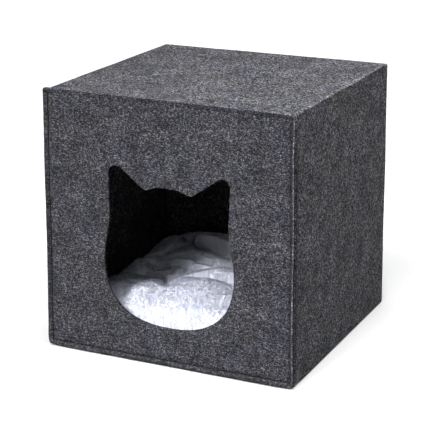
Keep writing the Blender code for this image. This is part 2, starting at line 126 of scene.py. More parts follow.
BACK_ROUND_STEPS, GROOVE_WIDTH = 6, 22  # the groove's half width in degrees
HEAD_STEPS, CHEEK_STEPS, EAR_STEPS = 32, 12, 9
CUT_ROUND = 0.0008  # rounding of a raw edge
ARC_STEPS = 4
ROUND_STEPS = 4  # steps of each rounding in a cross-section
WALL_STEP = 0.0085  # spacing of the points along the walls
PANEL_STEP = 0.0055  # spacing of the points in a flat panel
UNEVEN = 0.00028  # how far the felt's surface wanders in and out
UNEVEN_FINE = 0.00010
UNEVEN_SIZE, UNEVEN_FINE_SIZE = 0.045, 0.011
HOLE_STEP = 0.0016  # spacing of the points along the opening
CUT_SHADED, CUT_LIT = 0.22, 1.15  # painted shade on the opening's cut on its left, where it faces away from the light, and a painted highlight on it elsewhere


def smooth(value):
    """A soft step from 0 to 1."""
    value = min(max(value, 0.0), 1.0)
    return value * value * (3 - 2 * value)


def settle(x, y, z):
    """Move a point of the true box to where it lies in the soft one."""
    across = x / (WIDTH / 2)
    along = y / (DEPTH / 2)
    up = min(max(z / HEIGHT, 0.0), 1.0)
    wall = math.sin(math.pi * up)
    side_middle = math.cos(math.pi * min(abs(along), 1.0) / 2)
    end_middle = math.cos(math.pi * min(abs(across), 1.0) / 2)
    x_new = x * (1 - TAPER_X * up)
    y_new = y * (1 - TAPER_Y * up)
    x_new += BOW_SIDE * across ** 5 * side_middle * wall
    x_new += WAVER * wall * math.sin(9 * up + 2.2 * across)
    y_new += BOW_END * along ** 5 * end_middle * wall
    z_new = z - TOP_SAG * up ** 6 * side_middle * end_middle
    rise = smooth((SEAM_Y + LIFT_RUN - y) / LIFT_RUN) * (1 - smooth(z / LIFT_HEIGHT))
    return x_new, y_new, z_new + LIFT * rise


# ------------------------------ places round the cave
def stations(steps):
    """Places round the strip: each corner's arc, then the side that follows it."""
    places = []
    for corner in range(4):
        places += [("arc", corner, step / ARC_STEPS) for step in range(ARC_STEPS + 1)]
        places += [("side", corner, step / steps) for step in range(1, steps)]
    return places


def arc_point(corner, share, outward):
    """A point on a corner's arc, this far outside the seam line."""
    sign_x, sign_z, start = CORNERS[corner % 4]
    radius = FOLD_RADIUS + FOLD_GROWTH * max(outward, 0.0)
    angle = math.radians(start + 90 * share)
    centre_x = sign_x * (SEAM_HALF_WIDTH + outward - radius)
    centre_z = HEIGHT / 2 + sign_z * (SEAM_HALF_HEIGHT + outward - radius)
    return centre_x + radius * math.cos(angle), centre_z + radius * math.sin(angle)


def ring_point(place, outward):
    """The x and z of a place round the strip, this far outside the seam line."""
    kind, corner, share = place
    if kind == "arc":
        return arc_point(corner, share, outward)
    start = arc_point(corner, 1.0, outward)
    end = arc_point(corner + 1, 0.0, outward)
    return tuple(a + (b - a) * share for a, b in zip(start, end))


def flange_side(corner, share):
    """Lean in degrees and length that a side itself gives the flange at a place along it."""
    lean_start, lean_end, length_start, length_end = FLANGE_SIDES[corner % 4]
    return (lean_start + (lean_end - lean_start) * share,
            length_start + (length_end - length_start) * share)


def flange_corner(corner):
    """Lean in degrees and length where two sides meet, half way between theirs."""
    before = flange_side(corner - 1, 1.0)
    after = flange_side(corner, 0.0)
    return (before[0] + after[0]) / 2, (before[1] + after[1]) / 2


def notch(corner):
    """Share of the flange's length that is left at a corner."""
    return CORNER_NOTCH if CORNERS[corner % 4][1] < 0 else 1.0


def flange_at(place):
    """Lean in radians and length of the flange at a place round the strip."""
    kind, corner, share = place
    if kind == "arc":
        lean, length = flange_corner(corner)
        return math.radians(lean), length * notch(corner)
    lean, length = flange_side(corner, share)
    for end, near in ((corner, share), (corner + 1, 1 - share)):
        pull = 1 - smooth(near / CORNER_BLEND)
        corner_lean, corner_length = flange_corner(end)
        lean += (corner_lean - lean) * pull
        length += (corner_length - length) * pull
        length *= 1 - (1 - notch(end)) * (1 - smooth(near / NOTCH_BLEND))
    sway = noise.noise(Vector((share * 14, corner * 7.3, 0.5)))
    fine_sway = noise.noise(Vector((share * 60, corner * 3.1, 4.5)))
    lean += LEAN_SWAY * sway
    length += LENGTH_SWAY * sway + LENGTH_FINE_SWAY * fine_sway
    return math.radians(lean), length


def bend_rows(bend, length):
    """Inner points and thicknesses of a sheet that bends away at its stitched edge.

    The sheet lies along the first axis, half a gap from it. At the origin it bends by the
    given angle and runs on to its raw edge. Rows are (point, direction, thickness).
    """
    along_seam = (math.cos(bend), math.sin(bend))
    off_seam = (-math.sin(bend), math.cos(bend))
    turn = HALF_GAP * math.tan(bend / 2)
    half_way = (-math.sin(bend / 2), math.cos(bend / 2))
    corner = tuple(turn * a + HALF_GAP * o for a, o in zip(along_seam, off_seam))
    rows = [((-CREASE_RUN, HALF_GAP), (0.0, 1.0), FELT),
            (corner, half_way, STITCHED / math.cos(bend / 2))]
    for run, thickness in ((STITCH_RUN + STITCHED * math.tan(bend / 2), STITCHED),
                           (length, RAW_EDGE)):
        point = tuple(run * a + HALF_GAP * o for a, o in zip(along_seam, off_seam))
        rows.append((point, off_seam, thickness))
    return rows


def seam_at(place):
    """The seam's painted shade and painted highlight, and its pinch, at a place round the cave."""
    kind, corner, share = place
    before, here, after = [SEAM_SIDES[(corner + turn) % 4] for turn in (-1, 0, 1)]
    if kind == "arc":
        values = [(a + b) / 2 for a, b in zip(before, here)]
    else:
        start, end = [0.5 * (1 - smooth(near / SEAM_BLEND)) for near in (share, 1 - share)]
        values = [h + (b - h) * start + (a - h) * end for b, h, a in zip(before, here, after)]
    seam = dict(zip(SEAM_COLUMNS, values))
    phase = share * STITCHES if kind == "side" else 0.0
    swing = 0.5 - 0.5 * math.cos(2 * math.pi * phase)
    seam["pinch"] *= 1 - PINCH_SWING * swing
    # A rim's painted highlight swells and fades from stitch to stitch.
    seam["rim_light_and_shade"] *= 1 + BEAD_SWING * (seam["rim_light_and_shade"] > 1) * (swing - 0.5)
    return seam


def fold_light_and_shade(place):
    """How light the strip's outer face is at a place, with painted highlight and painted shade on
    its folds.
    """
    kind, corner, share = place
    return FOLD_LIGHT_AND_SHADE[corner % 4][share >= 0.5] if kind == "arc" else 1.0


def rounded_path(path):
    """Points and tones along (point, radius, tone) rows, with each inner corner rounded."""
    points = [(*path[0][0], path[0][2])]
    for (before, _, _), (corner, radius, tone), (after, _, _) in zip(path, path[1:], path[2:]):
        corner = Vector(corner)
        to_before = Vector(before) - corner
        to_after = Vector(after) - corner
        reach = min(radius, 0.45 * to_before.length, 0.45 * to_after.length)
        start = corner + to_before.normalized() * reach
        end = corner + to_after.normalized() * reach
        for step in range(ROUND_STEPS + 1):
            t = step / ROUND_STEPS
            point = start * (1 - t) ** 2 + corner * 2 * t * (1 - t) + end * t ** 2
            points.append((*point, tone))
    points.append((*path[-1][0], path[-1][2]))
    return points


def flange_section(bend, length, flat_run, seam):
    """Cross-section of a stitched edge, from the outer face round the cut to the inner one."""
    rows = bend_rows(bend, length)
    outer = [tuple(p + thickness * d for p, d in zip(point, direction))
             for point, direction, thickness in rows]
    crease = tuple(o - seam["pinch"] * d for o, d in zip(outer[1], rows[1][1]))
    pressed = tuple(o - PRESSED_PINCH * seam["pinch"] * d
                    for o, d in zip(outer[2], rows[2][1]))
    # These tones paint shade into the seam's groove and onto its cut, and a highlight or a shade
    # onto its rim.
    cut, foot = seam["cut_tone"], seam["foot_shade"]
    return rounded_path([
        ((-flat_run, SKIN), 0.0, (1 + foot) / 2), (outer[0], FOOT_ROUND, foot),
        (crease, CREASE_ROUND, seam["crease_shade"]),
        (pressed, PRESSED_ROUND, seam["pressed_shade"]),
        (outer[3], CUT_ROUND, seam["rim_light_and_shade"]), (rows[3][0], CUT_ROUND, cut),
        (rows[2][0], INNER_PRESSED_ROUND, cut), (rows[1][0], INNER_CREASE_ROUND, cut),
        ((-flat_run, HALF_GAP), 0.0, 1.0)])


# ------------------------------ meshes
def new_object(name, data):
    """An object with this data, in the scene."""
    piece = bpy.data.objects.new(name, data)
    bpy.context.scene.collection.objects.link(piece)
    return piece


def mesh_object(name, points, faces, tones=None):
    """A smooth object from points and faces, and how light it is at each point."""
    mesh = bpy.data.meshes.new(name)
    mesh.from_pydata(points, [], faces)
    if tones is not None:
        mesh.attributes.new("tone", "FLOAT", "POINT").data.foreach_set("value", tones)
    mesh.shade_smooth()
    return new_object(name, mesh)


class Sheet:
    """Collects the points and faces of one closed piece of cloth."""

    def __init__(self):
        self.points = []
        self.tones = []
        self.faces = []

    def add(self, x, y, z, tone=1.0):
        """Add a point, moved to its place in the soft box, and how light the felt is there."""
        self.points.append(settle(x, y, z))
        self.tones.append(tone)
        return len(self.points) - 1

    def bridge(self, loops):
        """Join closed loops of the same length, each to the next, with four-sided faces."""
        for loop_a, loop_b in zip(loops, loops[1:]):
            for i in range(len(loop_a)):
                j = (i + 1) % len(loop_a)
                self.faces.append((loop_a[i], loop_a[j], loop_b[j], loop_b[i]))

    def sweep(self, places, sections, closed=False):
        """Join the cross-sections at places round the cave, and return the rings of points.

        A section has (distance outside the seam line, y, tone) rows.
        """
        lines = []
        for place, section in zip(places, sections):
            line = []
            for outward, y, tone in section:
                x, z = ring_point(place, outward)
                line.append(self.add(x, y, z, tone))
            lines.append(line)
        rings = [list(ring) for ring in zip(*lines)]
        self.bridge(rings + rings[:1] if closed else rings)
        return rings

    def build(self, name, seed):
        """Make the object, its faces turned outwards and its surface a little uneven."""
        piece = mesh_object(name, self.points, self.faces, self.tones)
        work = bmesh.new()
        work.from_mesh(piece.data)
        bmesh.ops.recalc_face_normals(work, faces=work.faces)
        if work.calc_volume(signed=True) < 0:
            bmesh.ops.reverse_faces(work, faces=work.faces)
        work.normal_update()
        shift = Vector((seed * 3.7, seed * 1.9, seed * 5.3))
        for vertex in work.verts:
            spot = vertex.co / UNEVEN_SIZE + shift
            fine = vertex.co / UNEVEN_FINE_SIZE + shift
            vertex.co += UNEVEN * noise.noise_vector(spot) + UNEVEN_FINE * noise.noise_vector(fine)
            vertex.co.z = max(vertex.co.z, 0.0)
        lay = work.loops.layers.uv.new("lay")
        for face in work.faces:
            facing = max(range(3), key=lambda axis: abs(face.normal[axis]))
            flat = [axis for axis in range(3) if axis != facing]
            for loop in face.loops:
                loop[lay].uv = [loop.vert.co[axis] for axis in flat]
        work.to_mesh(piece.data)
        work.free()
        return piece


def inside(point, outline):
    """Whether a point lies inside a closed outline."""
    x, z = point
    odd = False
    for (x_a, z_a), (x_b, z_b) in zip(outline, outline[1:] + outline[:1]):
        if (z_a > z) != (z_b > z) and x < x_a + (z - z_a) * (x_b - x_a) / (z_b - z_a):
            odd = not odd
    return odd


def distances(spots, outline):
    """Distance from each spot to the nearest point of a finely stepped outline."""
    spots, outline = np.array(spots), np.array(outline)
    nearest = np.full(len(spots), np.inf)
    for corner in outline:
        nearest = np.minimum(nearest, np.hypot(*(spots - corner).T))
    return nearest


def fill_panel(rim, hole):
    """Points and triangles of the flat part between a rim and a hole, which may be empty."""
    steps = round(WIDTH / PANEL_STEP)
    spots = [(-WIDTH / 2 + WIDTH * (i + 0.5 * (j % 2) - 0.25) / steps, HEIGHT * j / steps)
             for i in range(1, steps) for j in range(1, steps)]
    margin = 0.6 * PANEL_STEP
    extra = [spot for spot, gap in zip(spots, distances(spots, rim + hole))
             if gap > margin and inside(spot, rim) and not inside(spot, hole)]
    edges = [(first + i, first + (i + 1) % len(loop))
             for first, loop in ((0, rim), (len(rim), hole)) for i in range(len(loop))]
    points = rim + hole + extra
    found = delaunay_2d_cdt(points, edges, [], 0, 1e-7)
    triangles = []
    for face in found[2]:
        corners = [found[3][corner][0] for corner in face]
        middle = tuple(sum(points[corner][axis] for corner in corners) / 3 for axis in (0, 1))
        if min(corners) < len(rim) or not inside(middle, hole):
            triangles.append(tuple(corners))
    return extra, triangles


def rounded(corners, steps):
    """Outline through corners given as (u, z, radius), each inner one rounded by an arc."""
    outline = []
    for before, corner, after in zip(corners, corners[1:], corners[2:]):
        point = Vector(corner[:2])
        radius = corner[2]
        to_before = (Vector(before[:2]) - point).normalized()
        to_after = (Vector(after[:2]) - point).normalized()
        half_angle = to_before.angle(to_after) / 2
        inwards = (to_before + to_after).normalized()
        centre = point + inwards * radius / math.sin(half_angle)
        start = point + to_before * radius / math.tan(half_angle) - centre
        end = point + to_after * radius / math.tan(half_angle) - centre
        for step in range(steps + 1):
            outline.append(tuple(centre + radius * start.slerp(end, step / steps)))
    return outline


def opening_half(widest, waist, ear_u, ear_z, ear_radius, notch_u, notch_z, bend_u, bend_z):
    """One side of the cat head, from its lowest point up to the crown, as u and z."""
    half = []
    for step in range(HEAD_STEPS + 1):
        angle = math.pi / 2 * step / HEAD_STEPS
        half.append((widest * math.sin(angle) ** (2 / HEAD_ROUNDNESS),
                     HEAD_CENTRE_Z - HEAD_DROP * math.cos(angle) ** (2 / HEAD_ROUNDNESS)))
    for step in range(1, CHEEK_STEPS + 1):
        share = step / CHEEK_STEPS
        half.append((widest + (waist - widest) * smooth(share),
                     HEAD_CENTRE_Z + (WAIST_Z - HEAD_CENTRE_Z) * share))
    half += rounded([(waist, WAIST_Z, 0.0), (ear_u, ear_z, ear_radius),
                     (notch_u, notch_z, NOTCH_RADIUS), (bend_u, bend_z, BEND_RADIUS),
                     (0.0, CROWN_Z, 0.0)], EAR_STEPS)
    return half + [(0.0, CROWN_Z)]


def opening_outline():
    """The cat head, anticlockwise from its lowest point, as x and z, evenly stepped."""
    right, left = [opening_half(*row) for row in HEAD_SIDES]
    rough = [(OPENING_X + u, z) for u, z in right]
    rough += [(OPENING_X - u, z) for u, z in reversed(left[:-1])]
    rough = np.array(rough)
    lengths = np.hypot(*np.diff(rough, axis=0).T)
    reached = np.concatenate([[0.0], np.cumsum(lengths)])
    count = round(reached[-1] / HOLE_STEP)
    stops = np.arange(count) * reached[-1] / count
    return np.stack([np.interp(stops, reached, rough[:, axis]) for axis in (0, 1)], axis=1)


def into_felt(outline):
    """The way out of the opening into the felt, at each point of its outline."""
    along = np.roll(outline, -2, axis=0) - np.roll(outline, 2, axis=0)
    along /= np.hypot(*along.T)[:, None]
    return np.stack([along[:, 1], -along[:, 0]], axis=1)


def widened(outline, distance):
    """The outline moved outwards, into the felt round the opening."""
    return outline + distance * into_felt(outline)


def add_fill(sheet, rim, rings, depths, hole=(), loops=((),)):
    """Fill a panel's outer and inner face, from its rim's rings to its hole's loops."""
    extra, triangles = fill_panel(rim, list(hole))
    for end, depth in zip((0, -1), depths):
        lookup = [*rings[end], *loops[end]]
        lookup += [sheet.add(x, depth, z) for x, z in extra]
        sheet.faces += [tuple(lookup[corner] for corner in face) for face in triangles]


def front_panel():
    """The front: a flat panel with the opening, and a rim that bends out into the flange."""
    sheet = Sheet()
    places = stations(STITCHES * FRONT_SUBSTEPS)
    sections = []
    for place in places:
        lean, length = flange_at(place)
        # The front panel gets no painted shade at its flange's foot.
        seam = dict(seam_at(place), foot_shade=1.0)
        sections.append([(outward, SEAM_Y - forward, tone) for outward, forward, tone
                         in flange_section(lean, length, PANEL_RIM, seam)])
    rings = sheet.sweep(places, sections)
    rim = [ring_point(place, -PANEL_RIM) for place in places]
    outline = opening_outline()
    quarter = math.pi / 2 / ROUND_STEPS
    cut = [(CUT_ROUND * (1 - math.sin(quarter * step)), CUT_ROUND * (1 - math.cos(quarter * step)))
           for step in range(ROUND_STEPS + 1)]
    profile = [(aside, SKIN - down) for aside, down in cut]
    profile += [(aside, HALF_GAP + down) for aside, down in reversed(cut)]
    # Painted shade on the cut's left side, and a painted highlight on the rest of it.
    cut_tones = [CUT_SHADED + (CUT_LIT - CUT_SHADED) * smooth((across + 0.5) / 0.5)
                 for across, _ in into_felt(outline)]
    loops = []
    for number, (aside, forward) in enumerate(profile):
        depth = min(number / ROUND_STEPS, 1.0)
        loops.append([sheet.add(x, SEAM_Y - forward, z, 1 + (tone - 1) * depth)
                      for (x, z), tone in zip(widened(outline, aside), cut_tones)])
    sheet.bridge(loops)
    hole = [tuple(spot) for spot in widened(outline, CUT_ROUND)]
    add_fill(sheet, rim, rings, (SEAM_Y - SKIN, SEAM_Y - HALF_GAP), hole, loops)
    return sheet.build("felt_front", 1)


def back_rounding(first_angle, last_angle):
    """Rounded outside of the back seam, between two angles: the strip is 0, the back 90."""
    outline = []
    for step in range(BACK_ROUND_STEPS + 1):
        angle = first_angle + (last_angle - first_angle) * step / BACK_ROUND_STEPS
        groove = BACK_GROOVE * max(0.0, 1 - abs(angle - MITRE) / GROOVE_WIDTH)
        radius = BACK_ROUND - groove
        angle = math.radians(angle)
        outline.append((SKIN - BACK_ROUND + radius * math.cos(angle),
                        BACK_Y - BACK_ROUND + radius * math.sin(angle)))
    return outline


def wall_band():
    """The strip: floor, right side, top and left side, with the flange's back layer."""
    sheet = Sheet()
    front, back = SEAM_Y + BAND_RIM, BACK_Y - BAND_RIM
    steps = round((back - front) / WALL_STEP)
    walls = [back + (front - back) * step / steps for step in range(1, steps)]
    corner = back_rounding(MITRE, 0)
    corner[0] = (corner[0][0], corner[0][1] - HALF_CUT)
    places = stations(STITCHES * STRIP_SUBSTEPS)
    sections = []
    for place in places:
        lean, length = flange_at(place)
        seam = seam_at(place)
        # Painted shade on the strip's flange layer, which lies back behind the front layer.
        seam["pressed_shade"] *= seam["strip_shade"]
        seam["rim_light_and_shade"] *= seam["strip_shade"]
        # painted highlight and painted shade on the strip's folds
        fold_paint = fold_light_and_shade(place)
        line = [(out, y, fold_paint) for out, y in corner] + [(SKIN, y, fold_paint) for y in walls]
        line += [(out, SEAM_Y - forward, tone) for forward, out, tone
                 in flange_section(math.pi / 2 - lean, length - SHORTER, BAND_RIM, seam)]
        line += [(HALF_GAP, y, 1.0) for y in (*reversed(walls), BACK_Y - FELT - HALF_CUT)]
        sections.append(line)
    sheet.sweep(places, sections, closed=True)
    return sheet.build("felt_walls", 2)


def back_panel():
    """The back: a flat panel whose edge is mitred to the strip."""
    sheet = Sheet()
    corner = back_rounding(90, MITRE)
    corner[-1] = (corner[-1][0] - HALF_CUT, corner[-1][1])
    line = [(-PANEL_RIM, BACK_Y), *corner, (HALF_GAP - HALF_CUT, BACK_Y - FELT),
            (-PANEL_RIM, BACK_Y - FELT)]
    places = stations(BACK_STEPS)
    rings = sheet.sweep(places, [[(*point, 1.0) for point in line]] * len(places))
    rim = [ring_point(place, -PANEL_RIM) for place in places]
    add_fill(sheet, rim, rings, (BACK_Y, BACK_Y - FELT))
    return sheet.build("felt_back", 3)


# ------------------------------ stitches
def stitch_end(corner, share, behind):
    """Where the thread dives into the flange, in its front layer or in the strip's behind it."""
    place = ("side", corner, share)
    lean, length = flange_at(place)
    rows = bend_rows(math.pi / 2 - lean if behind else lean, length)
    (crease, _, thickness), (pressed, direction, _) = rows[1:3]
    lift = thickness * STITCH_DEPTH
    spot = [a + (b - a) * STITCH_PLACE + lift * d for a, b, d in zip(crease, pressed, direction)]
    outward, forward = reversed(spot) if behind else spot
    x, z = ring_point(place, outward)
    return Vector(settle(x, SEAM_Y - forward, z))


def stitch_line(name, behind):
    """Stitches in the crease of the flange, all round, on the front or on the back layer."""
    points, faces = [], []
    out = Vector((0, 1 if behind else -1, 0))
    sides, rings = STITCH_SIDES, STITCH_RINGS
    for stitch in range(len(CORNERS) * STITCHES):
        corner, number = divmod(stitch, STITCHES)
        start, end = [stitch_end(corner, (number + share) / STITCHES, behind)
                      for share in STITCH_ENDS]
        along = (end - start).normalized()
        across = along.cross(out).normalized()
        up = across.cross(along).normalized()
        base = len(points)
        for ring in range(rings):
            share = ring / (rings - 1)
            arch = math.sin(math.pi * share)
            radius = STITCH_RADIUS * (STITCH_TIP + (1 - STITCH_TIP) * arch)
            centre = start.lerp(end, share) + up * (arch - STITCH_SUNK) * STITCH_ARCH
            for step in range(sides):
                angle = 2 * math.pi * step / sides
                points.append(centre + radius * (across * math.cos(angle)
                                                 + up * math.sin(angle)))
        for ring in range(rings - 1):
            for step in range(sides):
                a = base + ring * sides + step
                b = base + ring * sides + (step + 1) % sides
                faces.append((a, b, b + sides, a + sides))
        faces.append(tuple(base + step for step in reversed(range(sides))))
        faces.append(tuple(base + (rings - 1) * sides + step for step in range(sides)))
    return mesh_object(name, points, faces)


# ------------------------------ loose fibres and pile
def coordinates(piece):
    """The places of a piece's points, as an array."""
    return np.array([vertex.co for vertex in piece.data.vertices])


def surface_samples(piece, count, keep, seed):
    """Random points on the faces that keep() allows, as arrays of points and normals."""
    piece.data.calc_loop_triangles()
    triangles = np.array([face.vertices for face in piece.data.loop_triangles])
    triangles = coordinates(piece)[triangles]
    normals = np.cross(triangles[:, 1] - triangles[:, 0], triangles[:, 2] - triangles[:, 0])
    areas = np.linalg.norm(normals, axis=1)
    normals = normals / np.maximum(areas, 1e-12)[:, None]
    allowed = keep(triangles.mean(axis=1), normals) & (areas > 0)
    triangles, normals, areas = triangles[allowed], normals[allowed], areas[allowed]
    draw = np.random.default_rng(seed)
    picked = draw.choice(len(areas), size=count, p=areas / areas.sum())
    first, second = draw.random(count), draw.random(count)
    flip = first + second > 1
    first[flip], second[flip] = 1 - first[flip], 1 - second[flip]
    chosen = triangles[picked]
    points = (chosen[:, 0] + first[:, None] * (chosen[:, 1] - chosen[:, 0])
              + second[:, None] * (chosen[:, 2] - chosen[:, 0]))
    return points, normals[picked], draw


def ribbons(name, lines, widths, across, tones):
    """Thin pointed ribbons along lines: lines is (count, steps, 3), across gives their breadth."""
    count, steps, _ = lines.shape
    per = 2 * steps - 2
    points = np.empty((count, per, 3))
    points[:, 0] = lines[:, 0]
    points[:, -1] = lines[:, -1]
    half = across * (widths / 2)[:, None]
    for step in range(1, steps - 1):
        points[:, 2 * step - 1] = lines[:, step] - half
        points[:, 2 * step] = lines[:, step] + half
    base = (np.arange(count) * per)[:, None]
    faces = []
    for low in range(1, per - 3, 2):
        faces += (base + np.array([low, low + 1, low + 3, low + 2])).tolist()
    for tip in ([0, 2, 1], [per - 3, per - 2, per - 1]):
        faces += (base + np.array(tip)).tolist()
    return mesh_object(name, points.reshape(-1, 3), faces, np.repeat(tones, per))


def unit(vectors):
    """Each vector at length 1."""
    return vectors / np.maximum(np.linalg.norm(vectors, axis=1), 1e-9)[:, None]


FIBRE_STEPS, FIBRE_BOW, FIBRE_FLOOR = 5, 0.00010, 0.0001
FIBRE_STRAYS = 0.12  # share of the fibres with an end that stands off the felt


def felt_fibres(name, felt, count, keep, seed):
    """Curved fibres that lie on the felt, a few of them with one end standing off it."""
    points, normals, draw = surface_samples(felt, count, keep, seed)
    heading = unit(np.cross(normals, draw.normal(size=(count, 3))))
    aside = np.cross(normals, heading)
    length = draw.uniform(0.0025, 0.0065, count)
    curl = draw.normal(0.0, 0.35, count)
    stray = draw.random(count) < FIBRE_STRAYS
    rise = np.where(stray, draw.uniform(0.0005, 0.0013, count), draw.uniform(0.0, 0.00012, count))
    lines = np.stack([points + heading * (length * (t - 0.5))[:, None]
                      + aside * (length * curl * t * (1 - t) * 2)[:, None]
                      + normals * (FIBRE_BOW * math.sin(math.pi * t) + rise * t ** 2)[:, None]
                      for t in np.linspace(0.0, 1.0, FIBRE_STEPS)], axis=1)
    lines[..., 2] = np.maximum(lines[..., 2], FIBRE_FLOOR)
    widths = draw.uniform(0.00010, 0.00022, count)
    return ribbons(name, lines, widths, aside, draw.random(count))


# ------------------------------ the cushion
CUSHION_HALF_X, CUSHION_HALF_Y, CUSHION_Y = 0.1595, 0.1560, 0.0016
RIM_Z, EDGE_ROLL = 0.0265, 0.050
# The CAD cushion's own mounds and creases, which are taken away again. A mound has its place,
# half widths and height, a crease its start, end, depth and half width.
CAD_MOUNDS = (
    (-0.095, -0.062, 0.050, 0.048, 0.006),
    (-0.005, -0.062, 0.060, 0.050, 0.012),
    (0.095, -0.055, 0.050, 0.055, 0.008),
    (-0.020, 0.048, 0.062, 0.036, 0.010),
    (0.085, 0.050, 0.060, 0.045, 0.007),
    (-0.115, 0.100, 0.045, 0.045, 0.005),
    (0.000, 0.130, 0.090, 0.032, 0.009),
)
CAD_CREASES = (
    (-0.128, 0.010, -0.048, 0.006, 0.010, 0.009),
    (-0.048, 0.006, 0.040, -0.004, 0.006, 0.007),
    (0.040, -0.004, 0.130, 0.004, 0.006, 0.008),
    (-0.140, 0.052, -0.108, 0.047, 0.010, 0.009),
    (-0.108, 0.047, -0.084, 0.090, 0.007, 0.010),
    (-0.084, 0.100, -0.030, 0.092, 0.010, 0.009),
    (-0.030, 0.092, 0.090, 0.098, 0.008, 0.009),
    (-0.056, 0.000, -0.046, -0.085, 0.006, 0.011),
    (0.052, 0.000, 0.050, -0.090, 0.006, 0.011),
)
# The finer mounds and creases of the plush cover
MOUNDS = (
    (-0.083, -0.096, 0.036, 0.038, 0.009),
    (0.004, -0.072, 0.046, 0.050, 0.013),
    (0.095, -0.085, 0.045, 0.045, 0.008),
    (0.028, -0.020, 0.052, 0.021, 0.012),
    (-0.058, 0.036, 0.048, 0.038, 0.010),
    (0.100, 0.040, 0.045, 0.035, 0.007),
    (-0.060, 0.112, 0.075, 0.034, 0.010),
    (0.070, 0.125, 0.060, 0.038, 0.008),
)
CREASES = (
    (-0.145, -0.030, -0.095, -0.036, 0.009, 0.012),
    (-0.095, -0.036, -0.055, -0.050, 0.013, 0.011),
    (-0.055, -0.052, -0.042, -0.078, 0.013, 0.007),
    (-0.057, -0.048, -0.044, -0.016, 0.009, 0.012),
    (-0.044, -0.042, 0.004, -0.041, 0.007, 0.0080),
    (0.004, -0.041, 0.032, -0.047, 0.007, 0.0070),
    (0.032, -0.047, 0.130, -0.040, 0.008, 0.006),
    (-0.044, -0.016, 0.006, 0.010, 0.006, 0.014),
    (0.006, 0.014, 0.080, 0.026, 0.008, 0.013),
    (-0.150, 0.048, -0.107, 0.040, 0.010, 0.011),
    (-0.107, 0.040, -0.086, -0.012, 0.007, 0.012),
    (-0.146, 0.130, -0.100, 0.106, 0.010, 0.009),
    (-0.100, 0.106, -0.052, 0.068, 0.014, 0.009),
    (-0.052, 0.068, -0.012, 0.062, 0.010, 0.012),
    (-0.012, 0.062, 0.060, 0.072, 0.008, 0.012),
    (0.060, 0.072, 0.140, 0.080, 0.008, 0.008),
    (0.052, -0.050, 0.050, -0.110, 0.002, 0.010),
)
CUSHION_VOXEL = 0.0055
SWELL_FRAMES, SWELL_PRESSURE, SWELL_STIFFNESS, SWELL_BENDING = 20, 4.0, 20, 2
SWELL_CAP = 0.0012  # how far the swelling may move a point
WRINKLE, WRINKLE_SIZE, FINE_WRINKLE, FINE_WRINKLE_SIZE = 0.0012, 0.020, 0.0004, 0.008
BACK_TILT, LEFT_TILT = 0.0030, 0.0040
CUSHION_LOW, CUSHION_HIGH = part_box("cushion")
PLUSH_RISE = 0.004  # how far the plush cover may stand above the CAD cushion


def roll(distance):
    """Height share of the rounded edge, this far in from it."""
    inward = 1 - min(max(distance / EDGE_ROLL, 0.0), 1.0)
    return math.sqrt(1 - inward * inward)


def relief(x, y, mounds, creases):
    """How far these mounds and creases move the cushion's top at a point."""
    rise, drop = 0.0, 0.0
    for mound_x, mound_y, half_x, half_y, height in mounds:
        across, along = (x - mound_x) / half_x, (y - mound_y) / half_y
        rise += height * math.exp(-(across ** 2 + along ** 2))
    for x_start, y_start, x_end, y_end, depth, half_width in creases:
        run_x, run_y = x_end - x_start, y_end - y_start
        share = (x - x_start) * run_x + (y - y_start) * run_y
        share = min(max(share / (run_x ** 2 + run_y ** 2), 0.0), 1.0)
        aside = math.hypot(x - x_start - share * run_x, y - y_start - share * run_y)
        drop = max(drop, depth * math.exp(-(aside / half_width) ** 1.5))
    return rise - drop


def tilt(x, y):
    """How much higher the cushion lies towards the back, and lower in the left front."""
    back_share = smooth((y - 0.02) / 0.12)
    left_share = smooth((-0.10 - x) / 0.05) * (1 - smooth((y - 0.06) / 0.05))
    return BACK_TILT * back_share - LEFT_TILT * left_share


def swell(piece):
    """Let cloth pressure round the piece a little."""
    rest = coordinates(piece)
    cloth = piece.modifiers.new("swell", "CLOTH")
    settings = cloth.settings
    settings.use_pressure = True
    settings.uniform_pressure_force = SWELL_PRESSURE
    settings.quality = 5
    settings.tension_stiffness = settings.compression_stiffness = SWELL_STIFFNESS
    settings.bending_stiffness = SWELL_BENDING
    settings.effector_weights.gravity = 0.0
    cloth.collision_settings.use_collision = False
    for number in range(1, SWELL_FRAMES + 1):
        bpy.context.scene.frame_set(number)
    apply_modifiers(piece)
    bpy.context.scene.frame_set(1)
    moves = coordinates(piece) - rest
    sizes = np.linalg.norm(moves, axis=1)
    moves *= np.minimum(1.0, SWELL_CAP / np.maximum(sizes, 1e-9))[:, None]
    for vertex, start, move in zip(piece.data.vertices, rest, moves):
        vertex.co = start + move


